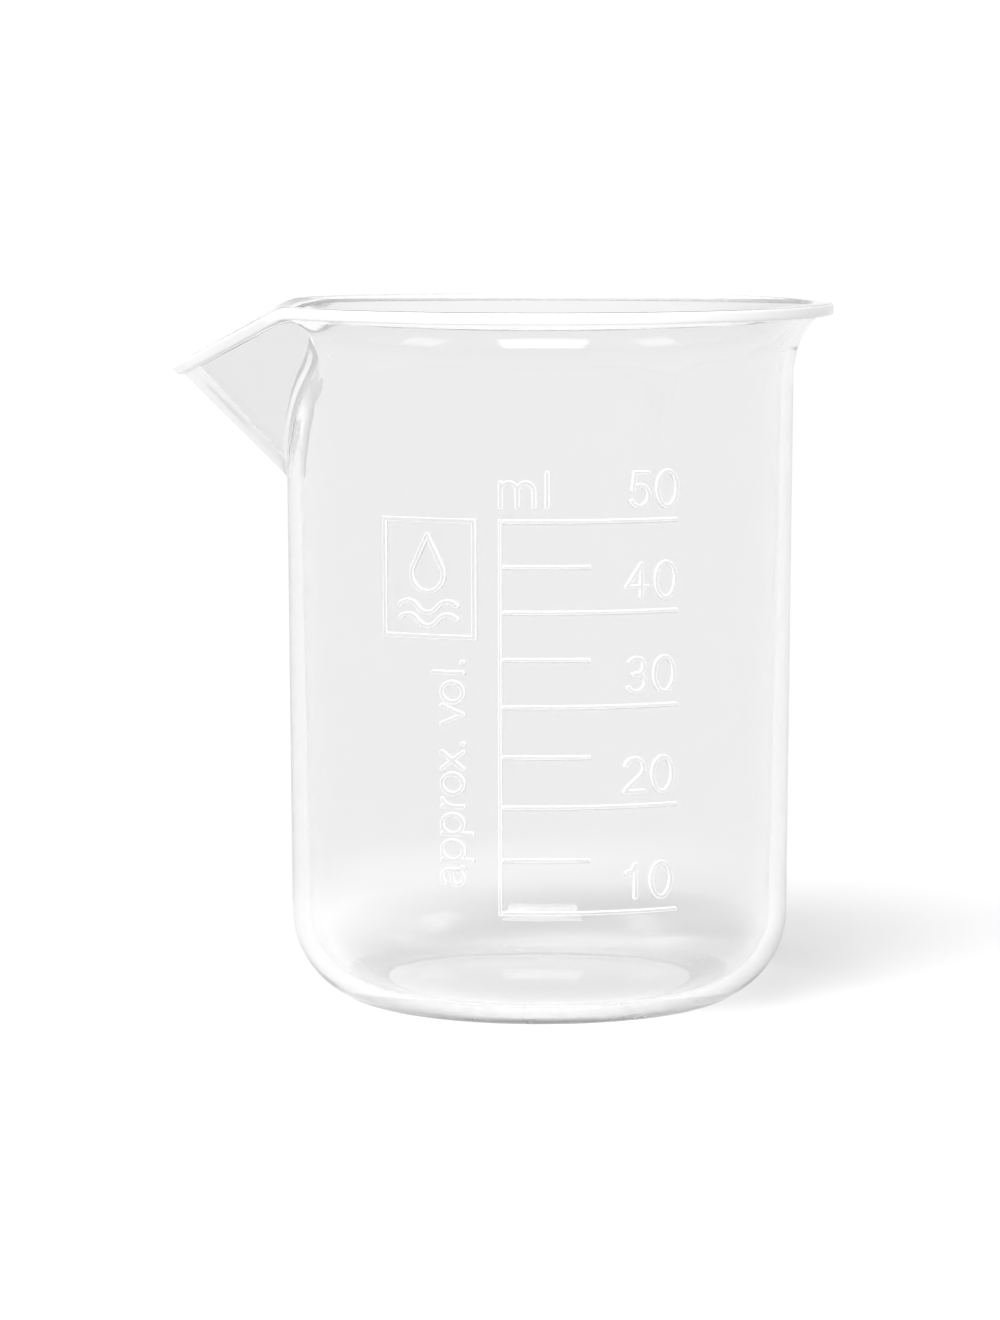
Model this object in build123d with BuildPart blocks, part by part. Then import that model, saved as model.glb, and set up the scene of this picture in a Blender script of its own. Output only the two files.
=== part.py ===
from build123d import *
import math
import os

# A 50 ml low-form laboratory beaker, moulded in one piece from clear plastic.
# Frame: +Z up, origin at the centre of the base, on the surface that the beaker stands on.
# The spout points along -X. The scale is on the front, the -Y side. All sizes in millimetres.

# ---- driving dimensions ----

height = 60.0  # from the standing surface to the top of the rim
rim_radius = 25.0
rim_thickness = 1.0  # height of the flat outer edge of the rim
rim_edge_rounding = 0.25

wall_radius_low = 21.25  # outside of the wall, just above the bottom corner
wall_radius_high = 21.65  # outside of the wall, where the rim starts to flare
corner_radius = 8.0  # rounding between the base and the wall
flare_start = 54.0
flare_radius = 6.7
flare_turn = 48.5  # degrees that the wall turns outwards before the rim's flat edge

floor_thickness = 1.5
wall_thickness_low = 1.5
wall_thickness_high = 1.05
inner_corner_radius = 6.5

spout_tip = (-31.6, 54.4)  # X and Z of the pouring tip
keel_slope = 45.0  # degrees that the bottom edge of the spout rises
spout_half_angle = 48.8  # half the angle between the two sides, seen along the keel
spout_wall = 1.0
spout_lip_height = 0.85
spout_lip_overhang = 0.3
spout_lip_slope = 29.2  # degrees that the top edge falls from the rim to the tip
spout_edge_rounding = 0.4
spout_root = -12.0  # X inside the body where the spout's solids stop

relief = 0.25  # how far the marks stand out of the wall
stroke = 0.42  # width of a raised stroke
spine_width = 0.3
line_draft = 0.06  # each side of a line slopes in by this much over the relief
tens_heights = {10: 10.4, 20: 19.2, 30: 27.5, 40: 35.3, 50: 42.8}

# Places around the wall are arc lengths from the front line, to the right as seen from the front.
spine_place = -3.2
long_line_end = 11.9
short_line_end = 4.2
first_numeral_end = 11.3  # middle of the last stroke of the number 10
last_numeral_end = 11.8  # middle of the last stroke of the number 50
legend_place = -6.29  # foot of the upright words, which read upwards
legend_foot = 12.65  # height where the upright words start
emblem_sides = (-13.53, -5.39)
emblem_heights = (33.2, 42.8)
drop_radius = 1.45
drop_middle = 0.35  # middle of the drop's round part, above the middle of the frame
drop_top = 3.6
ripple_heights = (-2.35, -3.45)  # middles of the two ripples, from the middle of the frame
ripple_radius = 1.1
ripple_span = 55  # degrees of arc in each swell and trough

digit_height = 2.72  # along the middle of the strokes, like the two sizes below
unit_letter_height = 2.0  # height of a letter x in the unit mark
legend_letter_height = 1.84  # height of a letter x in the upright words
text_rise = 1.2  # from the middle of a line to the foot of the text above it
drawing_depth = 1.0  # marks are drawn flat this far under the wall's face, then raised through it

os.makedirs("parts", exist_ok=True)


# ---- outer and inner outline of the turned body ----

wall_low = (wall_radius_low, corner_radius)
wall_high = (wall_radius_high, flare_start)
inner_wall_low = (wall_radius_low - wall_thickness_low, floor_thickness + inner_corner_radius)
inner_wall_high = (wall_radius_high - wall_thickness_high, flare_start)
above_rim = height + 3.0  # where the hollow's solid ends, clear of the rim
inner_flare_turn = 56  # degrees, enough to pass the top face of the rim


def wall_radius(z):
    """Outside radius of the straight wall at height z."""
    share = (z - corner_radius) / (flare_start - corner_radius)
    return wall_radius_low + share * (wall_radius_high - wall_radius_low)


# ---- planes of the spout ----

slope = math.radians(keel_slope)
keel_plane = Plane(
    origin=(spout_tip[0], 0, spout_tip[1]),
    x_dir=(0, 1, 0),
    z_dir=(math.cos(slope), 0, -math.sin(slope)),
)
lip_slope = math.radians(spout_lip_slope)
lip_plane = Plane(
    origin=(spout_tip[0], 0, spout_tip[1]),
    x_dir=(0, 1, 0),
    z_dir=(-math.sin(lip_slope), 0, math.cos(lip_slope)),
)
root_plane = Plane(origin=(spout_root, 0, 0), z_dir=(1, 0, 0))
keel_reach = 45.0  # length of the spout's solids along the keel, before they are trimmed
spout_opening = 30.0  # height of the V, before it is trimmed


def spout_section(inset, rounding):
    """The V across the keel, its sides moved in by inset, with a rounded keel."""
    apex = inset / math.sin(math.radians(spout_half_angle))
    half_width = spout_opening * math.tan(math.radians(spout_half_angle))
    with BuildSketch(keel_plane) as section:
        with BuildLine():
            Polyline(
                (0, apex),
                (half_width, apex + spout_opening),
                (-half_width, apex + spout_opening),
                close=True,
            )
        make_face()
        fillet(section.vertices().sort_by(Axis.Y)[0], radius=rounding)
    return section.sketch


# The body of the spout, a solid V whose sides are flat and whose keel runs into the wall.
with BuildPart() as spout_solid:
    add(spout_section(spout_lip_overhang, spout_edge_rounding))
    extrude(amount=keel_reach, dir=keel_plane.z_dir)
    split(bisect_by=root_plane, keep=Keep.BOTTOM)

# The lip along the spout's top edges, which carries on the flat edge of the rim.
with BuildPart() as spout_lip:
    add(spout_section(0, spout_edge_rounding))
    extrude(amount=keel_reach, dir=keel_plane.z_dir)
    split(bisect_by=root_plane, keep=Keep.BOTTOM)
    split(bisect_by=lip_plane.offset(-spout_lip_height), keep=Keep.TOP)

# The channel inside the spout.
with BuildPart() as spout_channel:
    add(spout_section(spout_lip_overhang + spout_wall, spout_edge_rounding))
    extrude(amount=keel_reach, dir=keel_plane.z_dir)
    split(bisect_by=root_plane, keep=Keep.BOTTOM)

# Everything above the spout's sloping top edges.
with BuildPart() as above_lip:
    with BuildSketch(lip_plane):
        Rectangle(4 * rim_radius, 4 * rim_radius)
    extrude(amount=height)

# The hollow of the turned body, floor to rim.
with BuildPart() as hollow:
    with BuildSketch(Plane.XZ):
        with BuildLine():
            Line((0, floor_thickness), (inner_wall_low[0] - inner_corner_radius, floor_thickness))
            RadiusArc(
                (inner_wall_low[0] - inner_corner_radius, floor_thickness),
                inner_wall_low,
                -inner_corner_radius,
            )
            inner_wall = Line(inner_wall_low, inner_wall_high)
            inner_flare = JernArc(
                inner_wall @ 1,
                inner_wall % 1,
                radius=flare_radius + wall_thickness_high,
                arc_size=-inner_flare_turn,
            )
            Polyline(
                inner_flare @ 1,
                ((inner_flare @ 1).X, above_rim),
                (0, above_rim),
                (0, floor_thickness),
            )
        make_face()
    revolve(axis=Axis.Z)


# ---- vessel: wall, floor, rim and spout ----

with BuildPart() as vessel:
    with BuildSketch(Plane.XZ):
        with BuildLine():
            Line((0, 0), (wall_radius_low - corner_radius, 0))
            RadiusArc((wall_radius_low - corner_radius, 0), wall_low, -corner_radius)
            outer_wall = Line(wall_low, wall_high)
            outer_flare = JernArc(
                outer_wall @ 1, outer_wall % 1, radius=flare_radius, arc_size=-flare_turn
            )
            Polyline(
                outer_flare @ 1,
                (rim_radius, height - rim_thickness),
                (rim_radius, height),
                (0, height),
                (0, 0),
            )
        make_face()
    revolve(axis=Axis.Z)
    circles = vessel.edges().filter_by(GeomType.CIRCLE)
    rim_edges = circles.filter_by(lambda edge: edge.radius > rim_radius - rim_edge_rounding)
    fillet(rim_edges, radius=rim_edge_rounding)
    add(spout_solid.part)
    add(spout_lip.part)
    add(above_lip.part, mode=Mode.SUBTRACT)
    split(bisect_by=Plane.XY.offset(height), keep=Keep.BOTTOM)
    add(hollow.part, mode=Mode.SUBTRACT)
    add(spout_channel.part, mode=Mode.SUBTRACT)

vessel.part.label = "vessel"
export_step(vessel.part, "parts/vessel.step")


# ---- raised marks: places on the wall ----

with BuildPart() as relief_band:
    with BuildSketch(Plane.XZ):
        with BuildLine():
            Polyline(
                wall_low,
                (wall_radius_low + relief, corner_radius),
                (wall_radius_high + relief, flare_start),
                wall_high,
                close=True,
            )
        make_face()
    revolve(axis=Axis.Z)


def wall_angle(place, z):
    """Angle around the wall, in radians from the front line, of an arc length at height z."""
    return place / wall_radius(z)


def wall_plane(place, z):
    """Plane just under the wall's face, facing outwards, with its X to the right and its Y up."""
    angle = wall_angle(place, z)
    outward = (math.sin(angle), -math.cos(angle), 0)
    along = (math.cos(angle), math.sin(angle), 0)
    radius = wall_radius(z) - drawing_depth
    return Plane(origin=(radius * outward[0], radius * outward[1], z), x_dir=along, z_dir=outward)


def raise_on_wall(sketch, plane):
    """Turn a flat drawing on a plane under the wall's face into relief on the wall's curve."""
    with BuildPart() as raised:
        add(sketch)
        extrude(amount=2 * drawing_depth + relief, dir=plane.z_dir)
        add(relief_band.part, mode=Mode.INTERSECT)
    return raised.part


# ---- raised marks: lettering ----

# Each character is (space before, width, space after, strokes), with the height of a digit or of the
# letter x as 1. A line is its points. A bow is the middle, the two radii, and the start and end angles.
characters = {
    "0": (
        0.13,
        0.675,
        0.13,
        [
            ("bow", 0.337, 0.5, 0.337, 0.53, 90, 270),
            ("bow", 0.337, 0.5, 0.337, 0.53, -90, 90),
        ],
    ),
    "1": (
        0.1,
        0.27,
        0.39,
        [
            ("line", (0.27, 0), (0.27, 1)),
            ("line", (0, 0.76), (0.15, 0.81), (0.27, 1)),
        ],
    ),
    "2": (
        0.1,
        0.625,
        0.16,
        [
            ("bow", 0.31, 0.7, 0.29, 0.31, -38, 170),
            ("line", (0.538, 0.509), (0.12, 0.15), (0, 0), (0.625, 0)),
        ],
    ),
    "3": (
        0.12,
        0.577,
        0.17,
        [
            ("bow", 0.28, 0.765, 0.25, 0.245, -105, 160),
            ("line", (0.19, 0.52), (0.3, 0.52)),
            ("bow", 0.28, 0.255, 0.297, 0.265, -165, 80),
        ],
    ),
    "4": (
        0.1,
        0.67,
        0.16,
        [
            ("line", (0.47, 0), (0.47, 1)),
            ("line", (0.45, 0.97), (0, 0.31), (0.67, 0.31)),
        ],
    ),
    "5": (
        0.12,
        0.574,
        0.16,
        [
            ("line", (0.53, 1), (0.12, 1), (0.05, 0.5)),
            ("bow", 0.27, 0.3, 0.3, 0.32, -165, 128),
        ],
    ),
    "a": (
        0.16,
        0.81,
        0.165,
        [
            ("bow", 0.36, 0.7, 0.32, 0.3, 0, 160),
            ("line", (0.68, 0.7), (0.68, 0.16), (0.81, 0.02)),
            ("line", (0.68, 0.56), (0.32, 0.52)),
            ("bow", 0.29, 0.26, 0.28, 0.26, 85, 262),
            ("bow", 0.29, 0.4, 0.39, 0.4, -97, -15),
        ],
    ),
    "p": (
        0.165,
        0.865,
        0.16,
        [
            ("line", (0, -0.41), (0, 1)),
            ("bow", 0.432, 0.5, 0.432, 0.5, 90, 270),
            ("bow", 0.432, 0.5, 0.432, 0.5, -90, 90),
        ],
    ),
    "r": (0.2, 0.42, 0.03, [("line", (0, 0), (0, 1)), ("bow", 0.42, 0.5, 0.42, 0.48, 90, 180)]),
    "o": (
        0.13,
        0.886,
        0.13,
        [
            ("bow", 0.443, 0.5, 0.443, 0.5, 90, 270),
            ("bow", 0.443, 0.5, 0.443, 0.5, -90, 90),
        ],
    ),
    "x": (0.1, 0.755, 0.1, [("line", (0, 0), (0.755, 1)), ("line", (0, 1), (0.755, 0))]),
    "v": (0.1, 0.826, 0.02, [("line", (0, 1), (0.413, 0), (0.826, 1))]),
    "l": (0.3, 0, 0.2, [("line", (0, 0), (0, 1.4))]),
    "m": (
        0,
        1.38,
        0.235,
        [
            ("line", (0, 0), (0, 1)),
            ("bow", 0.345, 0.62, 0.345, 0.38, 0, 180),
            ("line", (0.69, 0.62), (0.69, 0)),
            ("bow", 1.035, 0.62, 0.345, 0.38, 0, 180),
            ("line", (1.38, 0.62), (1.38, 0)),
        ],
    ),
    ".": (0.28, 0, 0.25, [("line", (0, 0), (0, 0.04))]),
    " ": (0, 0.55, 0, []),
}


def draw_line(points, size):
    """Draw a straight or bent stroke with round ends in the open sketch."""
    with BuildLine(mode=Mode.PRIVATE) as path:
        Polyline(*[(size * x, size * y) for x, y in points])
    SlotArc(path.wire(), height=stroke)


def draw_bow(middle, radii, angles, size):
    """Draw a stroke along part of an ellipse, with flat ends, in the open sketch."""
    centre = (size * middle[0], size * middle[1])
    turn = angles[1] - angles[0]
    half = stroke / 2
    with BuildLine(mode=Mode.PRIVATE) as outline:
        outer = EllipticalCenterArc(
            centre, size * radii[0] + half, size * radii[1] + half, start_angle=angles[0], arc_size=turn
        )
        inner = EllipticalCenterArc(
            centre, size * radii[0] - half, size * radii[1] - half, start_angle=angles[0], arc_size=turn
        )
        Line(outer @ 0, inner @ 0)
        Line(outer @ 1, inner @ 1)
    add(make_face(outline.edges(), mode=Mode.PRIVATE))


def draw_stroke(shape, size):
    """Draw one stroke of a character or of the emblem in the open sketch."""
    kind, *values = shape
    if kind == "line":
        draw_line(values, size)
    else:
        draw_bow(values[0:2], values[2:4], values[4:6], size)


def text_width(text, size):
    """Width of a text along the middle of its strokes, without the space before and after it."""
    widths = [sum(characters[character][:3]) for character in text]
    return size * (sum(widths) - characters[text[0]][0] - characters[text[-1]][2])


def draw_text(text, size):
    """Draw a text in the open sketch, its first stroke's middle at the left and its foot at 0."""
    place = -characters[text[0]][0]
    for character in text:
        before, width, after, strokes = characters[character]
        with Locations(((place + before) * size, 0)):
            for shape in strokes:
                draw_stroke(shape, size)
        place += before + width + after


def write_mark(part, name):
    """Label a finished mark and write it under its name."""
    part.label = name
    export_step(part, f"parts/{name}.step")


# ---- scale_spine ----

spine_foot = tens_heights[10] - stroke / 2
spine_length = tens_heights[50] - tens_heights[10] + stroke
spine_plane = wall_plane(spine_place, spine_foot)
with BuildSketch(spine_plane) as spine_drawing:
    Rectangle(spine_width, spine_length, align=(Align.CENTER, Align.MIN))
scale_spine = raise_on_wall(spine_drawing.sketch, spine_plane)
write_mark(scale_spine, "scale_spine")


# ---- graduation lines and half lines ----


def scale_line(z, end):
    """A raised line around the wall at height z, from the spine to the arc length end."""
    start_angle = wall_angle(spine_place + spine_width / 2, z)
    end_angle = wall_angle(end, z)
    radial_plane = Plane(
        origin=(0, 0, 0),
        x_dir=(math.sin(start_angle), -math.cos(start_angle), 0),
        z_dir=(-math.cos(start_angle), -math.sin(start_angle), 0),
    )
    low = z - stroke / 2
    high = z + stroke / 2
    with BuildPart() as line:
        with BuildSketch(radial_plane):
            with BuildLine():
                Polyline(
                    (wall_radius(low), low),
                    (wall_radius(low + line_draft) + relief, low + line_draft),
                    (wall_radius(high - line_draft) + relief, high - line_draft),
                    (wall_radius(high), high),
                    close=True,
                )
            make_face()
        revolve(axis=Axis.Z, revolution_arc=math.degrees(end_angle - start_angle))
    return line.part


for volume, z in tens_heights.items():
    write_mark(scale_line(z, long_line_end), f"graduation_line_{volume}")

for volume in (15, 25, 35, 45):
    middle = (tens_heights[volume - 5] + tens_heights[volume + 5]) / 2
    write_mark(scale_line(middle, short_line_end), f"half_line_{volume}")


# ---- numerals ----

for volume, z in tens_heights.items():
    numeral = str(volume)
    width = text_width(numeral, digit_height)
    share = (volume - 10) / 40
    numeral_end = first_numeral_end + share * (last_numeral_end - first_numeral_end)
    numeral_plane = wall_plane(numeral_end - width / 2, z + text_rise)
    with BuildSketch(numeral_plane) as numeral_drawing:
        with Locations((-width / 2, 0)):
            draw_text(numeral, digit_height)
    write_mark(raise_on_wall(numeral_drawing.sketch, numeral_plane), f"numeral_{volume}")


# ---- unit_mark_ml ----

unit_width = text_width("ml", unit_letter_height)
unit_plane = wall_plane(spine_place + unit_width / 2, tens_heights[50] + text_rise)
with BuildSketch(unit_plane) as unit_drawing:
    with Locations((-unit_width / 2, 0)):
        draw_text("ml", unit_letter_height)
unit_mark_ml = raise_on_wall(unit_drawing.sketch, unit_plane)
write_mark(unit_mark_ml, "unit_mark_ml")


# ---- volume_legend, upright words that read upwards ----

beside_legend = wall_plane(legend_place, legend_foot)
legend_plane = Plane(origin=beside_legend.origin, x_dir=(0, 0, 1), z_dir=beside_legend.z_dir)
with BuildSketch(legend_plane) as legend_drawing:
    draw_text("approx. vol.", legend_letter_height)
volume_legend = raise_on_wall(legend_drawing.sketch, legend_plane)
write_mark(volume_legend, "volume_legend")


# ---- emblem: a plain frame with a drop over two ripples ----

emblem_width = emblem_sides[1] - emblem_sides[0]
emblem_height = emblem_heights[1] - emblem_heights[0]
emblem_plane = wall_plane(sum(emblem_sides) / 2, sum(emblem_heights) / 2)
with BuildSketch(emblem_plane) as frame_drawing:
    Rectangle(emblem_width + stroke, emblem_height + stroke)
    Rectangle(emblem_width - stroke, emblem_height - stroke, mode=Mode.SUBTRACT)
emblem_frame = raise_on_wall(frame_drawing.sketch, emblem_plane)
write_mark(emblem_frame, "emblem_frame")

# The sides of the drop's point touch its round part at this angle from the top, left and right.
point_turn = math.degrees(math.acos(drop_radius / (drop_top - drop_middle)))
touch_angle = math.radians(90 - point_turn)
touch_right = (
    drop_radius * math.cos(touch_angle),
    drop_middle + drop_radius * math.sin(touch_angle),
)
touch_left = (-touch_right[0], touch_right[1])
round_part = (0, drop_middle, drop_radius, drop_radius, point_turn - 270, 90 - point_turn)
with BuildSketch(emblem_plane) as drop_drawing:
    draw_stroke(("bow", *round_part), 1)
    draw_stroke(("line", touch_right, (0, drop_top), touch_left), 1)
emblem_drop = raise_on_wall(drop_drawing.sketch, emblem_plane)
write_mark(emblem_drop, "emblem_drop")

ripple_step = 2 * ripple_radius * math.sin(math.radians(ripple_span))
ripple_drop = ripple_radius * math.cos(math.radians(ripple_span))
with BuildSketch(emblem_plane) as ripple_drawing:
    for ripple_height in ripple_heights:
        # A swell bends upwards on the left and the right, and a trough downwards between them.
        for swell in (-1, 0, 1):
            upwards = 1 if swell != 0 else -1
            middle = (swell * ripple_step, ripple_height - upwards * ripple_drop)
            start = upwards * 90 - ripple_span
            turn = (start, start + 2 * ripple_span)
            draw_stroke(("bow", *middle, ripple_radius, ripple_radius, *turn), 1)
emblem_ripples = raise_on_wall(ripple_drawing.sketch, emblem_plane)
write_mark(emblem_ripples, "emblem_ripples")
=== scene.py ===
import math

import bmesh
import bpy
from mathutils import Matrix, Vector


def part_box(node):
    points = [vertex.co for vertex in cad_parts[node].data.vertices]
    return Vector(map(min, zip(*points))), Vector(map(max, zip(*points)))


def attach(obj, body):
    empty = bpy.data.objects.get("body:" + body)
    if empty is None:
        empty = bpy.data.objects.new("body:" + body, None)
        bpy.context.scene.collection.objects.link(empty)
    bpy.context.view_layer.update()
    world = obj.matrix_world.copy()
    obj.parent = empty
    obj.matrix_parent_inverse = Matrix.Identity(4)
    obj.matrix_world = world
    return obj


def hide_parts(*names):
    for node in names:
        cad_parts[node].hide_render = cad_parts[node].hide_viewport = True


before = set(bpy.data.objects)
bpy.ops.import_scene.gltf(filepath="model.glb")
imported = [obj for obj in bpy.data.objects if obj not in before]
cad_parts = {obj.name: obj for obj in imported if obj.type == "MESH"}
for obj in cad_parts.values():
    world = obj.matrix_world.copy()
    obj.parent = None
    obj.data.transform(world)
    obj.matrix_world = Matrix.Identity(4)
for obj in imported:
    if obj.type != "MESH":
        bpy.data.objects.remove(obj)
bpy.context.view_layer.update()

MM = 0.001

# ---- sizes of the vessel, in millimetres as on the drawing ----

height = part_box("vessel")[1].z / MM
rim_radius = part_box("vessel")[1].x / MM
rim_thickness = 1.0  # height of the rim's flat outer edge
edge_rounding = 0.25

wall_low = 21.25  # outside radius of the wall, just above the bottom corner
wall_high = 21.65  # outside radius of the wall, where the rim starts to flare
corner_radius = 8.0
flare_start = 54.0
flare_radius = 6.7

floor_thickness = 1.5
inner_low = 19.75  # inside radius of the wall, just above the inner corner
inner_high = 20.6  # inside radius of the wall, where the rim starts to flare
inner_corner = 6.5
inner_flare = 7.75

tip_reach = 31.6  # distance of the pouring tip from the axis
tip_height = 54.4
half_angle = math.radians(48.8)  # half the angle between the spout's sides, seen along its keel
lip_slope = math.radians(29.2)  # fall of the spout's top edges from the rim to the tip
lip_fall = math.tan(lip_slope)
lip_depth = 0.85 / math.cos(lip_slope)
lip_overhang = 0.3
channel_inset = 1.3
keel_softness = 0.15
outer_blend = 0.4  # softness of the line where the spout meets the wall outside
inner_blend = 1.0  # the same inside
lip_blend = 0.3  # softness of the turn from the rim into the spout's lip
lip_top = tip_height + tip_reach * lip_fall  # height where the plane of the lip crosses the axis

# The keel rises at 45 degrees, and these follow from it.
side_lean = math.sqrt(2) / math.tan(half_angle)
inset_lift = math.sqrt(2) / math.sin(half_angle)
tip_foot = tip_height - tip_reach  # height where the line of the keel crosses the axis

spout_reach = math.radians(45)  # no part of the spout lies further round than this
meeting_lowest = corner_radius + 2.0  # the spout comes out of the wall above this height
meeting_highest = height - 2.6  # and below this one, which is clear of the rim's flat edge

# ---- rows and cuts of the vessel's mesh ----

pole_radius = 0.6  # the rows stop this far from the middle of the base and of the floor
base_rows = 8
corner_rows = 18
floor_rows = 8
rows_below = 26  # between the bottom corner and the junction of wall and spout
rows_near = 24  # around the junction
rows_above = 12  # between the junction and the rim
junction_reach = 1.2  # rows lie close together this far above and below the junction
outer_clearance = 0.3  # the rows of the outer wall end this far below the rim's flat edge
inner_clearance = 0.6  # the rows of the inner wall end this far below the top
ledge_rounding = 0.1  # rounding of the inner corner under the rim's flat edge
ledge_steps = 4
edge_steps = 6
rounding_share = 0.45  # a rounding takes at most this share of the run on each side of it
near_cuts = 44  # cross-sections on each side of the keel, as far round as near_reach
far_cuts = 72
near_reach = math.radians(38)
even_share = 0.22  # 1 would space the near cuts evenly, and 0 brings them closest at the keel
settling_rounds = 12  # rounds that settle the radius on the keel's softened edge
halvings = 24  # of the stretch in which the spout meets the wall

# ---- where white paints highlights or a darker tint paints shade, with the numbers of the material slots ----

CLEAR = 0
PAINTED_HIGHLIGHT = 1
RUBBED_AND_SHADED = 2
clear_edge_rows = 2  # the last rows of the rounding at the rim's outer top, which stay clear
keel_turn = math.radians(3.5)  # the painted highlight along the thick keel of the spout reaches this far to each side
line_reach = math.radians(31)  # the painted highlight along the junction runs this far round from the keel
outer_line = 3  # rows on each side of the outer junction that are painted white as a highlight
inner_line = 11  # the same on the softer inner junction
foot_rows = 6  # rows of the bottom corner that rubbing on the bench has dulled, with a darker tint there as painted shade

# ---- relief of the marks, in millimetres and radians ----

weld_distance = 0.002
relief_gap = 0.02  # the marks stand this far off the wall, so that two clear faces never coincide
relief_rounding = 0.08
rounding_steps = 3
rounded_from = 0.12  # edges nearer to the wall than this stay as they are
corner_angle = math.radians(30)  # edges that turn more than this are rounded
crease_angle = math.radians(50)  # edges that turn more than this stay sharp in the shading
slope_facing = (-0.5, 0.97)  # a face is on a slope if the outward part of its normal is between these


def smooth_max(a, b, blend):
    """The larger of two lengths, rounded over where they meet."""
    near = max(blend - abs(a - b), 0) / blend
    return max(a, b) + near * near * blend / 4


def smooth_min(a, b, blend):
    """The smaller of two lengths, rounded over where they meet."""
    return -smooth_max(-a, -b, blend)


def body_radius(z):
    """Outer radius of the turned body from the bottom corner up to the rim's flat edge."""
    if z < flare_start:
        share = (z - corner_radius) / (flare_start - corner_radius)
        return wall_low + share * (wall_high - wall_low)
    rise = min(z - flare_start, flare_radius)
    return wall_high + flare_radius - math.sqrt(flare_radius**2 - rise**2)


def hollow_radius(z):
    """Inner radius of the turned body above the inner corner."""
    foot = floor_thickness + inner_corner
    if z < flare_start:
        return inner_low + (z - foot) / (flare_start - foot) * (inner_high - inner_low)
    rise = min(z - flare_start, inner_flare)
    return inner_high + inner_flare - math.sqrt(inner_flare**2 - rise**2)


def spout_radius(angle, z, inset, fall=0.0):
    """Radius where the V of the spout, moved in by inset, has height z - fall * reach."""
    if abs(angle) > spout_reach:
        return 0.0
    across = abs(math.sin(angle))
    steep = (1 + fall) * math.cos(angle) + side_lean * across
    start = z - tip_foot - inset * inset_lift
    radius = start / steep
    for _ in range(settling_rounds):
        soft = math.hypot(radius * across, keel_softness) - radius * across
        radius = (start - side_lean * soft) / steep
    return max(radius, 0.0)


def outer_radius(angle, z):
    """Outer radius of the wall and the spout together."""
    return smooth_max(body_radius(z), spout_radius(angle, z, lip_overhang), outer_blend)


def inner_radius(angle, z):
    """Inner radius of the wall and the spout's channel together."""
    return smooth_max(hollow_radius(z), spout_radius(angle, z, channel_inset), inner_blend)


def lip_radius(angle, inset, drop):
    """Radius where the V meets the top lowered by drop, level on the rim and falling along the spout."""
    level = spout_radius(angle, height - drop, inset)
    falling = spout_radius(angle, lip_top - drop, inset, lip_fall)
    return min(level, falling)


def lip_height(angle, radius, drop):
    """Height at a radius of the top lowered by drop."""
    if abs(angle) > spout_reach:
        return height - drop
    falling = lip_top - lip_fall * radius * math.cos(angle)
    return smooth_min(height, falling, lip_blend) - drop


def meeting_height(angle, body, inset):
    """Height where the V of the spout comes out of the turned body, or the highest one where it doesn't."""
    low = meeting_lowest
    high = meeting_highest
    if spout_radius(angle, high, inset) < body(high):
        return high
    for _ in range(halvings):
        middle = (low + high) / 2
        if spout_radius(angle, middle, inset) < body(middle):
            low = middle
        else:
            high = middle
    return low


def spread(low, high, count):
    """Evenly spaced values from low, up to but without high."""
    return [low + (high - low) * i / count for i in range(count)]


def corner_point(wall, foot, radius, turn):
    """Point of the rounding between the level at height foot and a wall, turned up from the level."""
    return (wall - radius + radius * math.sin(turn), foot + radius - radius * math.cos(turn))


def rounded(before, corner, after, radius, steps):
    """Points of a rounded corner between two straight runs."""
    to_before = Vector(before) - Vector(corner)
    to_after = Vector(after) - Vector(corner)
    half = to_before.angle(to_after) / 2
    longest = rounding_share * min(to_before.length, to_after.length)
    reach = min(radius / math.tan(half), longest)
    first = Vector(corner) + to_before.normalized() * reach
    last = Vector(corner) + to_after.normalized() * reach
    points = []
    for i in range(steps + 1):
        t = i / steps
        points.append(tuple((1 - t) ** 2 * first + 2 * t * (1 - t) * Vector(corner) + t * t * last))
    return points


def junction_rows(foot, junction, top):
    """Heights from foot to top, close together around the junction."""
    rows = spread(foot, junction - junction_reach, rows_below)
    rows += spread(junction - junction_reach, junction + junction_reach, rows_near)
    rows += spread(junction + junction_reach, top, rows_above)
    return rows + [top]


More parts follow.
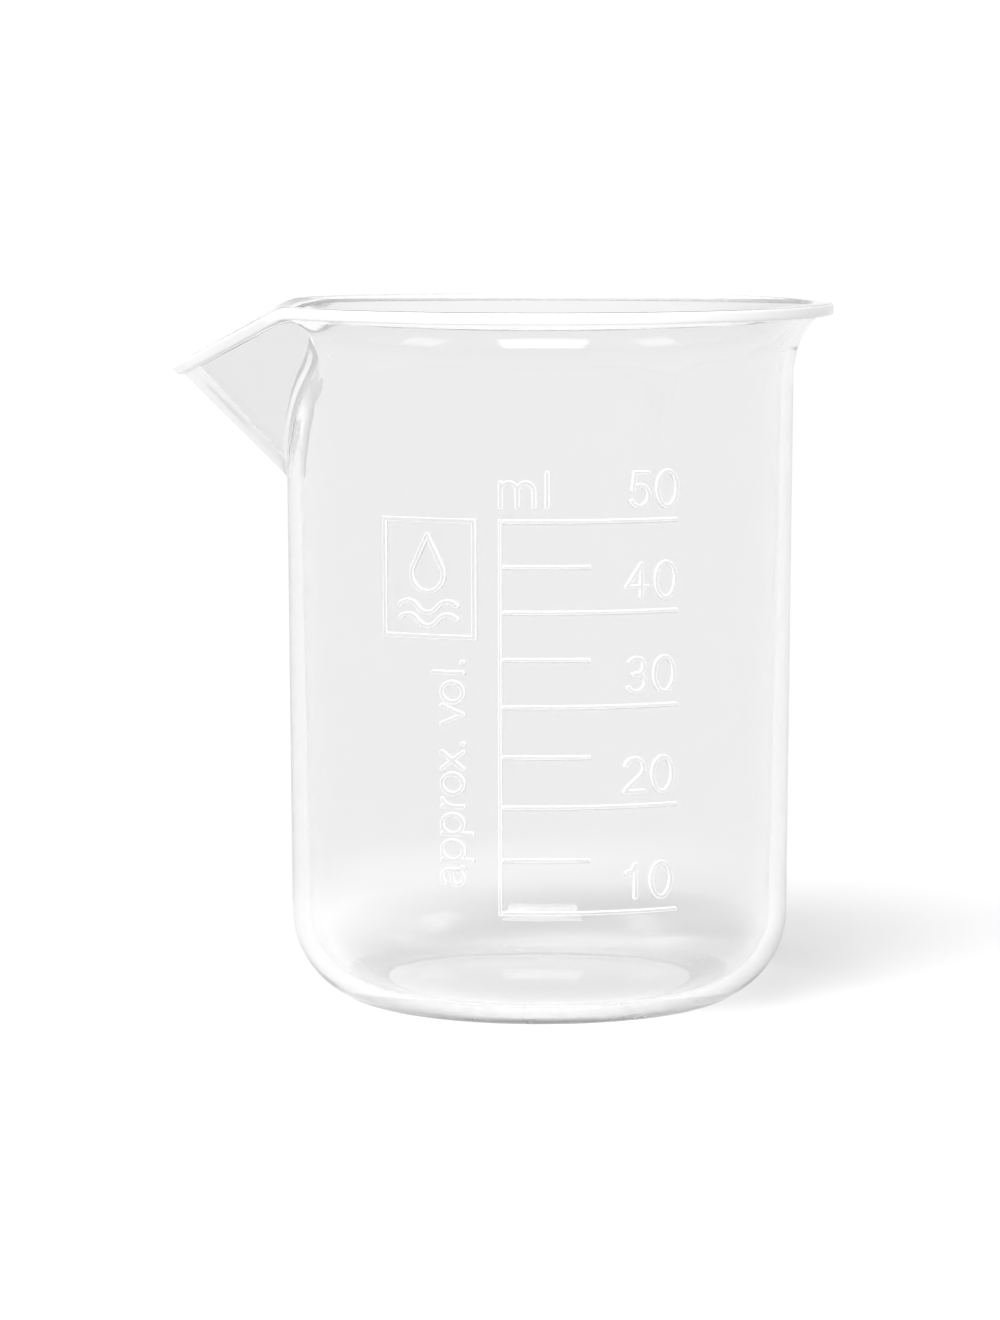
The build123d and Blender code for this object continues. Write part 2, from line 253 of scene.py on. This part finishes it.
def vessel_outline(angle):
    """The cross-section at one angle round from the spout, from the middle of the base to the floor's.

    Also returns the numbers of the first and last point of the rim's flat outer edge, and the numbers of
    the points where the spout meets the wall outside and inside. They are the same at every angle.
    """
    points = [(r, 0.0) for r in spread(pole_radius, wall_low - corner_radius, base_rows)]
    for turn in spread(0, math.pi / 2, corner_rows):
        points.append(corner_point(wall_low, 0, corner_radius, turn))

    band_foot = smooth_max(rim_radius, lip_radius(angle, 0, lip_depth), lip_blend)
    band_top = smooth_max(rim_radius, lip_radius(angle, 0, 0), lip_blend)
    inner_edge = smooth_max(hollow_radius(height), lip_radius(angle, channel_inset, 0), lip_blend)
    foot_height = lip_height(angle, band_foot, rim_thickness)
    top_height = lip_height(angle, band_top, 0)
    inner_height = lip_height(angle, inner_edge, 0)
    inner_wall_top = inner_height - inner_clearance
    ledge = (outer_radius(angle, foot_height), foot_height)
    outer_foot = (band_foot, foot_height)
    outer_top = (band_top, top_height)
    inner_top = (inner_edge, inner_height)
    below_inner = (inner_radius(angle, inner_wall_top), inner_wall_top)

    outer_meeting = meeting_height(angle, body_radius, lip_overhang)
    outer_junction = len(points) + rows_below + rows_near // 2
    rows = junction_rows(corner_radius, outer_meeting, foot_height - outer_clearance)
    points += [(outer_radius(angle, z), z) for z in rows]

    points += rounded(points[-1], ledge, outer_foot, ledge_rounding, ledge_steps)
    band_start = len(points)
    points += rounded(ledge, outer_foot, outer_top, edge_rounding, edge_steps)
    points += rounded(outer_foot, outer_top, inner_top, edge_rounding, edge_steps)
    band_end = len(points) - 1 - clear_edge_rows
    points += rounded(outer_top, inner_top, below_inner, edge_rounding, edge_steps)

    inner_meeting = meeting_height(angle, hollow_radius, channel_inset)
    inner_junction = len(points) + rows_above + rows_near // 2
    rows = junction_rows(floor_thickness + inner_corner, inner_meeting, inner_wall_top)
    points += [(inner_radius(angle, z), z) for z in reversed(rows)]

    for turn in spread(math.pi / 2, 0, corner_rows)[1:]:
        points.append(corner_point(inner_low, floor_thickness, inner_corner, turn))
    points += [(r, floor_thickness) for r in spread(inner_low - inner_corner, pole_radius, floor_rows)]
    points.append((pole_radius, floor_thickness))
    return points, (band_start, band_end), (outer_junction, inner_junction)


def vessel_slot(turn, row, band, junctions):
    """Material slot of a face, by its angle from the keel and its row in the outline."""
    # The rubbed foot, whose darker tint is painted shade along the bottom corner.
    if base_rows <= row < base_rows + foot_rows:
        return RUBBED_AND_SHADED
    on_band = band[0] <= row < band[1]
    on_keel = junctions[0] <= row < band[0] and turn < keel_turn
    on_outer_line = abs(row - junctions[0] + 0.5) < outer_line
    on_inner_line = abs(row - junctions[1] + 0.5) < inner_line
    on_line = turn < line_reach and (on_outer_line or on_inner_line)
    # The rim's band, the keel and the junction lines get the white plastic of painted highlights.
    return PAINTED_HIGHLIGHT if on_band or on_keel or on_line else CLEAR


def link(name, data):
    """A new object in the scene."""
    obj = bpy.data.objects.new(name, data)
    bpy.context.scene.collection.objects.link(obj)
    return obj


def finished_mesh(name, bm):
    """The mesh data made from a bmesh, which is freed."""
    data = bpy.data.meshes.new(name)
    bm.to_mesh(data)
    bm.free()
    return data


def make_vessel():
    """The whole moulding, turned through closely spaced cross-sections, closest at the keel."""
    half_turn = []
    for i in range(near_cuts):
        share = even_share * i / near_cuts + (1 - even_share) * (i / near_cuts) ** 2
        half_turn.append(near_reach * share)
    half_turn += spread(near_reach, math.pi, far_cuts) + [math.pi]
    angles = [-a for a in reversed(half_turn[1:-1])] + half_turn

    bm = bmesh.new()
    rings = []
    for angle in angles:
        outline, band, junctions = vessel_outline(angle)
        ring = []
        for radius, z in outline:
            x = -radius * math.cos(angle) * MM
            y = -radius * math.sin(angle) * MM
            ring.append(bm.verts.new((x, y, z * MM)))
        rings.append(ring)
    base_middle = bm.verts.new((0, 0, 0))
    floor_middle = bm.verts.new((0, 0, floor_thickness * MM))

    for i, ring in enumerate(rings):
        after = (i + 1) % len(rings)
        following = rings[after]
        # On the last strip, which closes the turn opposite the spout, this is near 0, as at the keel.
        turn = abs(angles[i] + angles[after]) / 2
        for row in range(len(ring) - 1):
            face = bm.faces.new((ring[row], following[row], following[row + 1], ring[row + 1]))
            face.material_index = vessel_slot(turn, row, band, junctions)
        bm.faces.new((base_middle, following[0], ring[0]))
        bm.faces.new((floor_middle, ring[-1], following[-1]))
    bmesh.ops.recalc_face_normals(bm, faces=bm.faces)
    for face in bm.faces:
        face.smooth = True
    return link("beaker_moulding", finished_mesh("beaker_moulding", bm))


def outward(place):
    """Direction away from the axis at a place."""
    return Vector((place.x, place.y, 0)).normalized()


def stands_out(edge):
    """Whether an edge of a mark turns sharply and lies clear of the wall."""
    if not edge.is_manifold or edge.calc_face_angle() < corner_angle:
        return False
    middle = (edge.verts[0].co + edge.verts[1].co) / 2
    off_wall = math.hypot(middle.x, middle.y) / MM - body_radius(middle.z / MM)
    return off_wall > rounded_from


def make_mark(node):
    """A raised mark with the soft edges of moulded relief, from the outline of its CAD node."""
    bm = bmesh.new()
    bm.from_mesh(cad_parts[node].data)
    bmesh.ops.remove_doubles(bm, verts=bm.verts, dist=weld_distance * MM)
    gap = relief_gap * MM
    for vertex in bm.verts:
        vertex.co += outward(vertex.co) * gap
    bmesh.ops.bevel(
        bm,
        geom=[edge for edge in bm.edges if stands_out(edge)],
        offset=relief_rounding * MM,
        offset_type="OFFSET",
        segments=rounding_steps,
        profile=0.5,
        affect="EDGES",
        clamp_overlap=False,
    )
    bmesh.ops.recalc_face_normals(bm, faces=bm.faces)
    for face in bm.faces:
        face.smooth = True
        facing = face.normal.dot(outward(face.calc_center_median()))
        on_slope = slope_facing[0] < facing < slope_facing[1]
        # Slopes of the relief get the white plastic of painted highlights.
        face.material_index = PAINTED_HIGHLIGHT if on_slope else CLEAR
    for edge in bm.edges:
        if edge.is_manifold and edge.calc_face_angle() > crease_angle:
            edge.smooth = False
    mark = link(node + "_relief", finished_mesh(node + "_relief", bm))
    weighted = mark.modifiers.new("flat faces", "WEIGHTED_NORMAL")
    weighted.keep_sharp = True
    weighted.weight = 80
    return mark


# ---- clear plastic, in metres ----

refraction = 1.46
tint_drift = 0.015  # the tint is lighter by up to this much in places
painted_base_light_tint = 0.99  # the lighter tint that painted light lifts the plastic to near the base
painted_base_light_top = 20 * MM
# How far painted light near the base has lifted the tint, at some shares of the height over which it fades.
painted_base_light_stops = ((0.1, 0.6), (0.25, 0.72), (0.42, 0.75), (0.62, 0.0))
rubbing_dulls = 0.05  # roughness that rubbing adds where it is worst
shadow_tint = 0.77  # light that each face lets through to the floor, higher up on the beaker
shadow_fade = (10 * MM, 18 * MM)  # each face lets all light through below the first height


def grey(level):
    """An opaque grey."""
    return (level, level, level, 1.0)


def add_node(tree, kind, inputs=None, **properties):
    """A new shader node with some of its properties and the values of some of its inputs set."""
    node = tree.nodes.new(kind)
    for name, value in properties.items():
        setattr(node, name, value)
    for name, value in (inputs or {}).items():
        node.inputs[name].default_value = value
    return node


def tint_and_painted_base_light(tree, stretched, upright, tint):
    """A faint tint that drifts over the surface, lightened towards the base by painted light."""
    drift = add_node(tree, "ShaderNodeTexNoise", {"Scale": 60.0, "Detail": 2.0})
    tree.links.new(stretched.outputs["Vector"], drift.inputs["Vector"])
    shades = {"A": grey(tint), "B": grey(tint + tint_drift)}
    shade = add_node(tree, "ShaderNodeMix", shades, data_type="RGBA")
    tree.links.new(drift.outputs["Fac"], shade.inputs["Factor"])

    # Painted light: by height, the tint is lifted towards a lighter grey near the base.
    by_height = add_node(tree, "ShaderNodeMapRange", {"From Min": 0.0, "From Max": painted_base_light_top})
    tree.links.new(upright.outputs["Z"], by_height.inputs["Value"])
    painted_base_light_ramp = add_node(tree, "ShaderNodeValToRGB")
    ramp = painted_base_light_ramp.color_ramp
    ramp.interpolation = "EASE"
    for position, level in painted_base_light_stops:
        stop = ramp.elements.new(position)
        stop.color = grey(level)
    ramp.elements.remove(ramp.elements[0])
    ramp.elements.remove(ramp.elements[-1])
    tree.links.new(by_height.outputs["Result"], painted_base_light_ramp.inputs["Fac"])

    colour = add_node(tree, "ShaderNodeMix", {"B": grey(painted_base_light_tint)}, data_type="RGBA")
    tree.links.new(painted_base_light_ramp.outputs["Color"], colour.inputs["Factor"])
    tree.links.new(shade.outputs["Result"], colour.inputs["A"])
    return colour.outputs["Result"]


def rubbed_roughness(tree, place, roughness):
    """Fine rubbing that dulls the shine in places."""
    rubbing = add_node(tree, "ShaderNodeTexNoise", {"Scale": 420.0, "Detail": 5.0, "Roughness": 0.65})
    tree.links.new(place.outputs["Object"], rubbing.inputs["Vector"])
    levels = {"From Min": 0.45, "From Max": 0.8, "To Min": roughness, "To Max": roughness + rubbing_dulls}
    dull = add_node(tree, "ShaderNodeMapRange", levels)
    tree.links.new(rubbing.outputs["Fac"], dull.inputs["Value"])
    return dull.outputs["Result"]


def flow_waves(tree, stretched, waviness):
    """Slow waves that the flow of the plastic leaves in its surface."""
    flow = add_node(tree, "ShaderNodeTexNoise", {"Scale": 110.0, "Detail": 1.0})
    tree.links.new(stretched.outputs["Vector"], flow.inputs["Vector"])
    wave = add_node(tree, "ShaderNodeBump", {"Strength": 1.0, "Distance": waviness})
    tree.links.new(flow.outputs["Fac"], wave.inputs["Height"])
    return wave.outputs["Normal"]


def light_through(tree, upright):
    """What a shadow ray meets: a grey tint higher up, and nothing near the base."""
    tints = {"A": grey(shadow_tint), "B": grey(1.0)}
    cast = add_node(tree, "ShaderNodeMix", tints, data_type="RGBA")
    levels = {"From Min": shadow_fade[0], "From Max": shadow_fade[1], "To Min": 1.0, "To Max": 0.0}
    low_down = add_node(tree, "ShaderNodeMapRange", levels, interpolation_type="SMOOTHSTEP")
    tree.links.new(upright.outputs["Z"], low_down.inputs["Value"])
    tree.links.new(low_down.outputs["Result"], cast.inputs["Factor"])
    passing = add_node(tree, "ShaderNodeBsdfTransparent")
    tree.links.new(cast.outputs["Result"], passing.inputs["Color"])
    return passing.outputs["BSDF"]


def clear_plastic(name, tint, waviness, roughness):
    """Clear moulded plastic with a drifting tint that painted light lightens near the base, flow waves and
    fine rubbing.
    """
    material = bpy.data.materials.new(name)
    material.use_nodes = True
    tree = material.node_tree
    tree.nodes.clear()
    output = add_node(tree, "ShaderNodeOutputMaterial")
    looks = {"IOR": refraction, "Transmission Weight": 1.0}
    plastic = add_node(tree, "ShaderNodeBsdfPrincipled", looks)
    place = add_node(tree, "ShaderNodeTexCoord")
    stretched = add_node(tree, "ShaderNodeMapping", {"Scale": (1.0, 1.0, 0.35)})
    tree.links.new(place.outputs["Object"], stretched.inputs["Vector"])
    upright = add_node(tree, "ShaderNodeSeparateXYZ")
    tree.links.new(place.outputs["Object"], upright.inputs["Vector"])

    tree.links.new(tint_and_painted_base_light(tree, stretched, upright, tint), plastic.inputs["Base Color"])
    tree.links.new(rubbed_roughness(tree, place, roughness), plastic.inputs["Roughness"])
    tree.links.new(flow_waves(tree, stretched, waviness), plastic.inputs["Normal"])

    rays = add_node(tree, "ShaderNodeLightPath")
    either = add_node(tree, "ShaderNodeMixShader")
    tree.links.new(rays.outputs["Is Shadow Ray"], either.inputs["Fac"])
    tree.links.new(plastic.outputs["BSDF"], either.inputs[1])
    tree.links.new(light_through(tree, upright), either.inputs[2])
    tree.links.new(either.outputs["Shader"], output.inputs["Surface"])
    return material


def painted_highlight_plastic(name, highlight_whiteness, clearness):
    """The same plastic made white, dull and less clear, as painted highlight on edges and on slopes of the
    relief.
    """
    material = clear_plastic(name, highlight_whiteness, waviness=0.003 * MM, roughness=0.3)
    plastic = material.node_tree.nodes["Principled BSDF"]
    plastic.inputs["Transmission Weight"].default_value = clearness
    return material


# ---- the pieces ----

vessel_plastic = clear_plastic("clear_moulded_plastic", 0.889, waviness=0.004 * MM, roughness=0.0)
mark_plastic = clear_plastic("clear_relief_plastic", 0.98, waviness=0.003 * MM, roughness=0.01)
# White, mostly diffuse plastic paints the highlights on the relief's slopes and on the vessel's edges.
slope_highlight_plastic = painted_highlight_plastic("painted_highlight_relief_slopes", highlight_whiteness=0.96, clearness=0.45)
# The foot's darker tint is painted shade along the bottom corner; its roughness is the rubbing.
foot_plastic = clear_plastic("rubbed_foot_plastic_with_painted_shade", 0.84, waviness=0.003 * MM, roughness=0.25)
edge_highlight_plastic = painted_highlight_plastic("painted_highlight_edges", highlight_whiteness=0.87, clearness=0.25)

lit_by_boxes = bpy.data.collections.new("lit_by_boxes")
vessel = make_vessel()
lit_by_boxes.objects.link(vessel)
vessel.data.materials.append(vessel_plastic)
vessel.data.materials.append(edge_highlight_plastic)
vessel.data.materials.append(foot_plastic)
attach(vessel, "root")
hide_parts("vessel")

for node in sorted(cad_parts):
    if node == "vessel":
        continue
    mark = make_mark(node)
    lit_by_boxes.objects.link(mark)
    mark.data.materials.append(mark_plastic)
    mark.data.materials.append(slope_highlight_plastic)
    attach(mark, "root")
    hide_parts(node)


# ---- floor ----

scene = bpy.context.scene
scene.view_settings.view_transform = "Standard"

floor_half_width = 20.0
floor_drop = 0.05 * MM  # the floor lies this far under the base, so that the two faces never coincide

floor_grid = bmesh.new()
bmesh.ops.create_grid(floor_grid, x_segments=1, y_segments=1, size=floor_half_width)
floor = link("studio_floor", finished_mesh("studio_floor", floor_grid))
floor.location.z = -floor_drop
paper = bpy.data.materials.new("pale_paper")
paper.use_nodes = True
sheet = paper.node_tree.nodes["Principled BSDF"]
sheet.inputs["Base Color"].default_value = grey(0.85)
sheet.inputs["Roughness"].default_value = 0.9
sheet.inputs["Specular IOR Level"].default_value = 0.0
floor.data.materials.append(paper)


# ---- light ----

box_distance = 1.2
box_aim = Vector((0, 0, 30 * MM))  # half-way up the beaker


def add_box(name, azimuth, elevation, width, tall, power):
    """A softbox that lights only the beaker. Azimuth 0 is in front, the -Y side, and 90 on the right."""
    lamp = bpy.data.lights.new(name, "AREA")
    lamp.shape = "RECTANGLE"
    lamp.size = width
    lamp.size_y = tall
    lamp.energy = power
    box = link(name, lamp)
    a = math.radians(azimuth)
    e = math.radians(elevation)
    out = Vector((math.sin(a) * math.cos(e), -math.cos(a) * math.cos(e), math.sin(e)))
    box.location = box_aim + out * box_distance
    box.rotation_euler = out.to_track_quat("Z", "Y").to_euler()
    box.light_linking.receiver_collection = lit_by_boxes


sun = bpy.data.lights.new("key", "SUN")
sun.energy = 3.3
sun.angle = math.radians(24)
to_sun = Vector((-0.195, -0.597, 0.778))  # in front, a little to the left, about 50 degrees up
key = link("key", sun)
key.visible_transmission = False
key.visible_glossy = False
key.rotation_euler = to_sun.to_track_quat("Z", "Y").to_euler()

add_box("front_box", azimuth=-2, elevation=50, width=0.7, tall=0.5, power=5.5)
add_box("left_box", azimuth=-69, elevation=45, width=0.35, tall=0.3, power=0.55)
add_box("right_box", azimuth=69, elevation=45, width=0.35, tall=0.3, power=0.55)

# The surroundings are white near the horizon and darker overhead.
world = bpy.data.worlds.new("studio")
scene.world = world
world.use_nodes = True
sky = world.node_tree
surround = add_node(sky, "ShaderNodeTexCoord")
direction = add_node(sky, "ShaderNodeSeparateXYZ")
sky_levels = {"From Min": 0.1, "From Max": 0.6, "To Min": 1.08, "To Max": 0.3}
fade = add_node(sky, "ShaderNodeMapRange", sky_levels)
sky.links.new(surround.outputs["Generated"], direction.inputs["Vector"])
sky.links.new(direction.outputs["Z"], fade.inputs["Value"])
sky.links.new(fade.outputs["Result"], sky.nodes["Background"].inputs["Strength"])
sky.nodes["Background"].inputs["Color"].default_value = grey(1.0)


# ---- camera ----

camera_distance = 490 * MM
camera_height = 77.8 * MM
looks_down = 5.65  # degrees
looks_left = 0.396  # degrees

camera_data = bpy.data.cameras.new("camera")
camera_data.lens = 156.6
camera_data.sensor_width = 36.0
camera_data.clip_start = 0.01
camera_data.clip_end = 100.0
camera = link("camera", camera_data)
camera.location = (0, -camera_distance, camera_height)
camera.rotation_euler = (math.radians(90 - looks_down), 0, math.radians(looks_left))
scene.camera = camera
